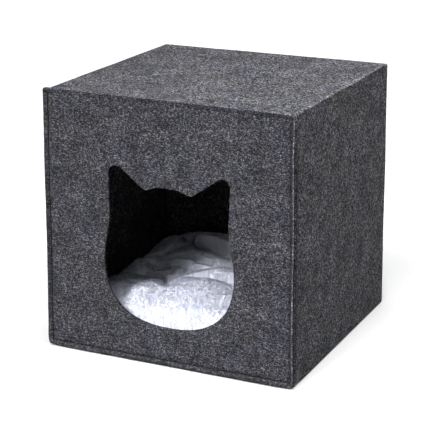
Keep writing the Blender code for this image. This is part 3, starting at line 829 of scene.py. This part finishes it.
def cushion_body():
    """The filled cushion: the CAD form remeshed, swelled by pressure, then creased."""
    piece = new_object("plush_cushion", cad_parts["cushion"].data.copy())
    bpy.context.view_layer.objects.active = piece
    remesh = piece.modifiers.new("remesh", "REMESH")
    remesh.mode = "VOXEL"
    remesh.voxel_size = CUSHION_VOXEL
    apply_modifiers(piece)
    swell(piece)
    divide = piece.modifiers.new("divide", "SUBSURF")
    divide.levels = divide.render_levels = 1
    apply_modifiers(piece)
    low, high = CUSHION_LOW, CUSHION_HIGH
    for vertex in piece.data.vertices:
        x, y, z = vertex.co
        if z > RIM_Z:
            upper = roll(CUSHION_HALF_X - abs(x)) * roll(CUSHION_HALF_Y - abs(y - CUSHION_Y))
            change = relief(x, y, MOUNDS, CREASES) - relief(x, y, CAD_MOUNDS, CAD_CREASES)
            spot = Vector((x, y, 0.0))
            wrinkle = noise.noise(spot / WRINKLE_SIZE + Vector((3.0, 8.0, 1.0)))
            fine = noise.noise(spot / FINE_WRINKLE_SIZE + Vector((9.0, 2.0, 5.0)))
            z += upper * (change + tilt(x, y) + WRINKLE * wrinkle + FINE_WRINKLE * fine)
            z = min(z, high.z + PLUSH_RISE)
        x = min(max(x, low.x), high.x)
        y = min(max(y, low.y), high.y)
        vertex.co = (x, y, max(z, low.z))
    piece.data.shade_smooth()
    return piece


def apply_modifiers(piece):
    """Replace the piece's mesh by what its modifiers make of it."""
    graph = bpy.context.evaluated_depsgraph_get()
    mesh = bpy.data.meshes.new_from_object(piece.evaluated_get(graph))
    piece.modifiers.clear()
    old = piece.data
    piece.data = mesh
    bpy.data.meshes.remove(old)
    mesh.name = piece.name


PILE_LENGTH = 0.0075
PILE_COMB = Vector((0.30, -0.55, 0.0))  # the way most of it leans
PILE_LEAN = PILE_COMB.normalized()
PILE_ASIDE = PILE_LEAN.cross(Vector((0.0, 0.0, 1.0)))
PILE_BROAD, PILE_TUFT, PILE_STRAY = 0.30, 0.24, 0.12  # how unevenly it leans
PILE_BROAD_SIZE, PILE_TUFT_SIZE = 0.030, 0.006
LOCK_LENGTH, LOCK_BREADTH, LOCK_DEPTH = 0.014, 0.0024, 0.02  # of the locks of like tone
LOCK_CONTRAST = 0.85
PILE_REACH = 0.0005  # the pile stays this far inside the walls
PILE_ROOT = 0.0006  # how deep it starts below the cushion's surface
PILE_STEPS = 4
PILE_FOOT_Z = 0.030  # lowest place where it grows


def pile(name, cushion, count, keep, seed):
    """Short soft pile on the cushion, combed into small uneven tufts."""
    points, normals, draw = surface_samples(cushion, count, keep, seed)
    comb, tones = np.empty((count, 3)), np.empty(count)
    for index, point in enumerate(points):
        point = Vector(point)
        broad = noise.noise_vector(point / PILE_BROAD_SIZE)
        tuft = noise.noise_vector(point / PILE_TUFT_SIZE + Vector((5.0, 1.0, 3.0)))
        comb[index] = PILE_COMB + broad * PILE_BROAD + tuft * PILE_TUFT
        lock = Vector((PILE_LEAN.dot(point) / LOCK_LENGTH, PILE_ASIDE.dot(point) / LOCK_BREADTH,
                       point.z / LOCK_DEPTH))
        tones[index] = 0.5 + LOCK_CONTRAST * noise.noise(lock)
    comb += draw.normal(0.0, PILE_STRAY, (count, 3))
    comb -= normals * np.sum(comb * normals, axis=1)[:, None]
    length = PILE_LENGTH * draw.uniform(0.6, 1.15, count)
    lines = np.stack([points + normals * (length * (0.62 * t - 0.22 * t * t))[:, None]
                      + comb * (length * (0.25 * t + 0.75 * t * t))[:, None]
                      - normals * PILE_ROOT
                      for t in np.linspace(0.0, 1.0, PILE_STEPS)], axis=1)
    low = np.array(CUSHION_LOW.xy) + PILE_REACH
    high = np.array(CUSHION_HIGH.xy) - PILE_REACH
    lines[..., :2] = np.clip(lines[..., :2], low, high)
    breadth = unit(np.cross(normals, comb + draw.normal(0.0, 0.1, (count, 3))))
    widths = draw.uniform(0.00046, 0.00098, count)
    tones = np.clip(tones + draw.normal(0.0, 0.12, count), 0.0, 1.0)
    return ribbons(name, lines, widths, breadth, tones)


# ------------------------------ materials
class Nodes:
    """Short calls for building a material's node tree."""

    def __init__(self, name):
        self.material = bpy.data.materials.new(name)
        self.material.use_nodes = True
        self.tree = self.material.node_tree
        self.shader = self.tree.nodes["Principled BSDF"]
        coordinates = self.add("TexCoord")
        self.place = coordinates.outputs["Object"]
        self.lay = coordinates.outputs["UV"]

    def link(self, value, socket):
        """Feed a socket from a number, a colour or another node's output."""
        if isinstance(value, bpy.types.NodeSocket):
            self.tree.links.new(value, socket)
        else:
            socket.default_value = value

    def add(self, kind, **inputs):
        """A new node of this kind, with its inputs fed."""
        node = self.tree.nodes.new("ShaderNode" + kind)
        for name, value in inputs.items():
            self.link(value, node.inputs[name])
        return node

    def noise(self, vector, scale, detail, roughness, seed):
        """Noise from 0 to 1."""
        node = self.add("TexNoise", Vector=vector, Scale=scale, Detail=detail,
                        Roughness=roughness)
        node.noise_dimensions = "4D"
        self.link(seed, node.inputs["W"])
        return node.outputs["Fac"]

    def turned(self, angle, stretch):
        """The place on the cloth, turned and stretched, for streaks along one direction."""
        node = self.add("Mapping", Vector=self.lay, Scale=(stretch, 1.0, 1.0),
                        Rotation=(0.0, 0.0, math.radians(angle)))
        node.vector_type = "TEXTURE"
        return node.outputs["Vector"]

    def tone(self):
        """The tone that the mesh carries at each point."""
        node = self.add("Attribute")
        node.attribute_name = "tone"
        return node.outputs["Color"]

    def math(self, operation, *values):
        """A math node."""
        node = self.add("Math")
        node.operation = operation
        for value, socket in zip(values, node.inputs):
            self.link(value, socket)
        return node.outputs["Value"]

    def ramp(self, value, *stops):
        """A colour ramp through (position, colour) stops."""
        node = self.add("ValToRGB", Fac=value)
        elements = node.color_ramp.elements
        while len(elements) < len(stops):
            elements.new(0.5)
        for element, (position, colour) in zip(elements, stops):
            element.position = position
            element.color = (*colour, 1.0)
        return node.outputs["Color"]

    def times(self, colour_a, colour_b):
        """The product of two colours."""
        node = self.add("Mix")
        node.data_type = "RGBA"
        node.blend_type = "MULTIPLY"
        for value, number in ((1.0, 0), (colour_a, 6), (colour_b, 7)):
            self.link(value, node.inputs[number])
        return node.outputs[2]

    def surface(self, colour, roughness, specular):
        """The surface's colour, roughness and specular level."""
        self.link(colour, self.shader.inputs["Base Color"])
        self.shader.inputs["Roughness"].default_value = roughness
        self.shader.inputs["Specular IOR Level"].default_value = specular

    def bump(self, height, distance, strength):
        """A bump from a height."""
        node = self.add("Bump", Height=height, Distance=distance, Strength=strength)
        self.link(node.outputs["Normal"], self.shader.inputs["Normal"])


def greys(level, tint, *stops):
    """Ramp stops from (position, share of this level of grey), a little towards blue-violet."""
    hue = (1 - 0.30 * tint, 1 - 0.34 * tint, 1 + 0.9 * tint)
    return [(position, [level * share * part for part in hue]) for position, share in stops]


GRAIN_SHARE = 1.6  # weight of the even grain against one set of streaks


def felt_material(name, level, contrast, tint, size, stretch, turns):
    """Needled felt: dark fibres with grey and light ones mixed through it."""
    nodes = Nodes(name)
    grain = nodes.noise(nodes.lay, 560.0 / size, 1.0, 0.5, 1.0)
    total = nodes.math("MULTIPLY", grain, GRAIN_SHARE)
    for number, turn in enumerate(turns):
        streak = nodes.noise(nodes.turned(turn, stretch), 900.0 / size, 0.0, 0.5, 3.0 + number)
        total = nodes.math("ADD", total, streak)
    average = nodes.math("DIVIDE", total, GRAIN_SHARE + len(turns))
    height = nodes.math("MULTIPLY_ADD", nodes.math("SUBTRACT", average, 0.5), contrast, 0.5)
    colour = nodes.ramp(height, *greys(level, tint, (0.0, 0.25), (0.40, 0.60), (0.62, 1.30),
                                       (1.0, 5.2)))
    broad = nodes.noise(nodes.place, 38.0, 3.0, 0.65, 9.0)
    tone = nodes.ramp(broad, (0.30, (0.52, 0.54, 0.57)), (0.70, (1.56, 1.52, 1.47)))
    drift = nodes.noise(nodes.place, 30.0, 2.0, 0.5, 4.0)
    hue = nodes.ramp(drift, (0.35, (1.02, 1.01, 0.97)), (0.65, (0.96, 0.99, 1.07)))
    # The mesh's tone brings in the painted shade and painted highlights along the seams, the
    # strip's folds and the opening's cut.
    for factor in (tone, hue, nodes.tone()):
        colour = nodes.times(colour, factor)
    nodes.surface(colour, 0.95, 0.15)
    nodes.bump(height, 0.0006, 0.55)
    return nodes.material


def fibre_material(name, level, tint):
    """Loose fibres, from nearly black to light grey."""
    nodes = Nodes(name)
    stops = greys(level, tint, (0.0, 0.35), (0.50, 1.1), (0.80, 2.4), (1.0, 4.5))
    nodes.surface(nodes.ramp(nodes.tone(), *stops), 0.85, 0.2)
    return nodes.material


def thread_material():
    """Dark sewing thread with a twist."""
    nodes = Nodes("thread")
    twist = nodes.noise(nodes.place, 2400.0, 0.0, 0.5, 2.0)
    colour = nodes.ramp(twist, (0.3, (0.016, 0.016, 0.018)), (0.7, (0.042, 0.042, 0.047)))
    nodes.surface(colour, 0.6, 0.5)
    nodes.bump(twist, 0.0002, 0.5)
    return nodes.material


def plush_material(name, level, through=0.0):
    """White plush, faintly cool, that lets this share of the light through its strands."""
    nodes = Nodes(name)
    broad = nodes.noise(nodes.place, 45.0, 3.0, 0.6, 5.0)
    fine = nodes.noise(nodes.place, 420.0, 2.0, 0.6, 8.0)
    shade = nodes.math("MULTIPLY_ADD", nodes.math("ADD", broad, fine), 0.05, level - 0.05)
    colour = nodes.ramp(shade, (0.0, (0.0, 0.0, 0.0)), (1.0, (0.93, 0.94, 1.0)))
    if through:
        lock = nodes.ramp(nodes.tone(), (0.1, (0.72, 0.74, 0.79)), (0.8, (1.0, 1.0, 1.0)))
        colour = nodes.times(colour, lock)
        glow = nodes.add("BsdfTranslucent", Color=colour)
        blend = nodes.add("MixShader", Fac=through)
        nodes.link(nodes.shader.outputs["BSDF"], blend.inputs[1])
        nodes.link(glow.outputs["BSDF"], blend.inputs[2])
        output = nodes.tree.nodes["Material Output"]
        nodes.link(blend.outputs["Shader"], output.inputs["Surface"])
    nodes.surface(colour, 0.9, 0.2)
    nodes.shader.inputs["Sheen Weight"].default_value = 0.25
    nodes.shader.inputs["Sheen Roughness"].default_value = 0.5
    nodes.bump(fine, 0.0012, 0.5)
    return nodes.material


def dress(piece, material, slot, *replaced):
    """Give a piece its material and body, and hide the CAD node that it stands for; the slot
    argument is not used.
    """
    piece.data.materials.clear()
    piece.data.materials.append(material)
    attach(piece, "root")
    if replaced:
        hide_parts(*replaced)
    return piece


# ------------------------------ stage, light and camera
VIEW_AZIMUTH, VIEW_ELEVATION = 25.1385, 17.3689  # degrees
VIEW_DISTANCE = 1.8597
VIEW_ASIDE, VIEW_ABOVE = -0.0092, -0.0163  # of the camera, from the cave's middle
VIEW_MIDDLE_Z = 0.1647
SENSOR, FOCAL = 36.0, 121.81
SUNS = (  # name, azimuth, elevation and width in degrees, strength
    ("key", -15.0, 41.0, 12.0, 2.6),
    ("key_high", -15.0, 54.0, 14.0, 1.15),
    ("key_low", -15.0, 30.0, 12.0, 0.60),
    ("low", -8.0, 22.0, 16.0, 0.35),
    ("fill", 30.0, 20.0, 40.0, 0.20),
    ("overhead", 0.0, 90.0, 30.0, 2.6),
    ("side", 95.0, 30.0, 40.0, 0.50),
)
NEAR_PLACE, NEAR_SIZE, NEAR_POWER = (0.25, -0.17, 0.95), 0.4, 11.0
AMBIENT = 0.30
FLOOR_TONE = 0.53


def stage_and_light():
    """A plain pale floor, soft suns from several sides, a near light above and the world."""
    bpy.ops.mesh.primitive_plane_add(size=30.0, location=(0.0, 8.0, 0.0))
    floor = bpy.context.object
    floor.name = "floor"
    nodes = Nodes("floor")
    nodes.surface((FLOOR_TONE, FLOOR_TONE, FLOOR_TONE, 1.0), 0.9, 0.1)
    floor.data.materials.append(nodes.material)
    for name, azimuth, elevation, width, strength in SUNS:
        light = bpy.data.lights.new(name, "SUN")
        light.angle = math.radians(width)
        light.energy = strength
        aim(new_object(name, light), direction(azimuth, elevation))
    near = bpy.data.lights.new("near", "AREA")
    near.shape = "SQUARE"
    near.size = NEAR_SIZE
    near.energy = NEAR_POWER
    lamp = new_object("near", near)
    lamp.location = NEAR_PLACE
    aim(lamp, Vector(NEAR_PLACE) - Vector((0.0, 0.0, HEIGHT / 2)))
    world = bpy.data.worlds.new("studio")
    bpy.context.scene.world = world
    world.use_nodes = True
    background = world.node_tree.nodes["Background"]
    background.inputs["Color"].default_value = (0.97, 0.98, 1.0, 1.0)
    background.inputs["Strength"].default_value = AMBIENT


def aim(lamp, back):
    """Turn a light so that it shines against this direction."""
    lamp.rotation_euler = back.to_track_quat("Z", "Y").to_euler()


def direction(azimuth, elevation):
    """The way from the cave to where this azimuth and elevation point, in degrees."""
    azimuth, elevation = math.radians(azimuth), math.radians(elevation)
    return Vector((math.sin(azimuth) * math.cos(elevation),
                   -math.cos(azimuth) * math.cos(elevation), math.sin(elevation)))


def add_camera():
    """The camera at the photo's angle, level, without shift."""
    back = direction(VIEW_AZIMUTH, VIEW_ELEVATION)
    right = Vector((0.0, 0.0, 1.0)).cross(back).normalized()
    up = back.cross(right)
    data = bpy.data.cameras.new("camera")
    data.sensor_width = SENSOR
    data.lens = FOCAL
    camera = new_object("camera", data)
    turn = Matrix((right, up, back)).transposed().to_4x4()
    place = right * VIEW_ASIDE + up * VIEW_ABOVE + back * VIEW_DISTANCE
    camera.matrix_world = Matrix.Translation(place + Vector((0, 0, VIEW_MIDDLE_Z))) @ turn
    bpy.context.scene.camera = camera


# ------------------------------ putting it together
def outer_front(points, normals):
    """The front panel's face, flange and cut edges, without its inner face."""
    return normals[:, 1] < 0.6


def outer_walls(points, normals):
    """The outside of the strip, without its underside."""
    half_width = SEAM_HALF_WIDTH * (1 - TAPER_X * points[:, 2] / HEIGHT)
    outside = (np.abs(points[:, 0]) > half_width + 0.0012) | (points[:, 2] > HEIGHT - 0.0025)
    return outside | (points[:, 1] < SEAM_Y)


def outer_back(points, normals):
    """The back panel's outside."""
    return normals[:, 1] > 0.3


def upper_part(low, high):
    """Picks the cushion's faces above its lower rim, with y from low to high."""
    def keep(points, _):
        return (points[:, 1] >= low) & (points[:, 1] < high) & (points[:, 2] > PILE_FOOT_Z)
    return keep


def main():
    """Build every piece and dress it, then the stage, light and camera."""
    # Front and strip are the same felt. The front's level is set a little lighter than the
    # strip's, as painted light on the front.
    felt_front = felt_material("felt_front", 0.0228, 5.8, 0.13, 0.68, 4.5,
                               (6, 33, 80, 150, 172))
    felt_walls = felt_material("felt_walls", 0.0192, 9.5, 0.09, 0.98, 3.8,
                               (8, 47, 79, 118, 156))
    front_fibre = fibre_material("fibre_front", 0.034, 0.08)
    wall_fibre = fibre_material("fibre_walls", 0.042, 0.08)
    thread = thread_material()
    front = dress(front_panel(), felt_front, "front_felt", "front_panel")
    walls = dress(wall_band(), felt_walls, "wall_felt", "wall_band")
    back = dress(back_panel(), felt_walls, "wall_felt", "back_panel")
    seam_front = dress(stitch_line("stitches_front", False), thread, "front_felt")
    seam_back = dress(stitch_line("stitches_walls", True), thread, "wall_felt")
    fibres_front, fibres_walls, fibres_back = [
        dress(felt_fibres("fibres_" + side, felt, count, keep, seed), material, slot)
        for side, felt, count, keep, seed, material, slot in (
            ("front", front, 15000, outer_front, 11, front_fibre, "front_felt"),
            ("walls", walls, 24000, outer_walls, 12, wall_fibre, "wall_felt"),
            ("back", back, 7000, outer_back, 13, wall_fibre, "wall_felt"))]
    cushion = dress(cushion_body(), plush_material("plush_base", 0.88), "plush", "cushion")
    pile_material = plush_material("plush_pile", 0.95, 0.45)
    for name, low, high, count, seed in (("pile_front", -1.0, 0.0, 49500, 21),
                                         ("pile_back", 0.0, 1.0, 44000, 22)):
        dress(pile(name, cushion, count, upper_part(low, high), seed), pile_material, "plush")
    stage_and_light()
    add_camera()
    bpy.context.scene.view_settings.view_transform = "Standard"


main()
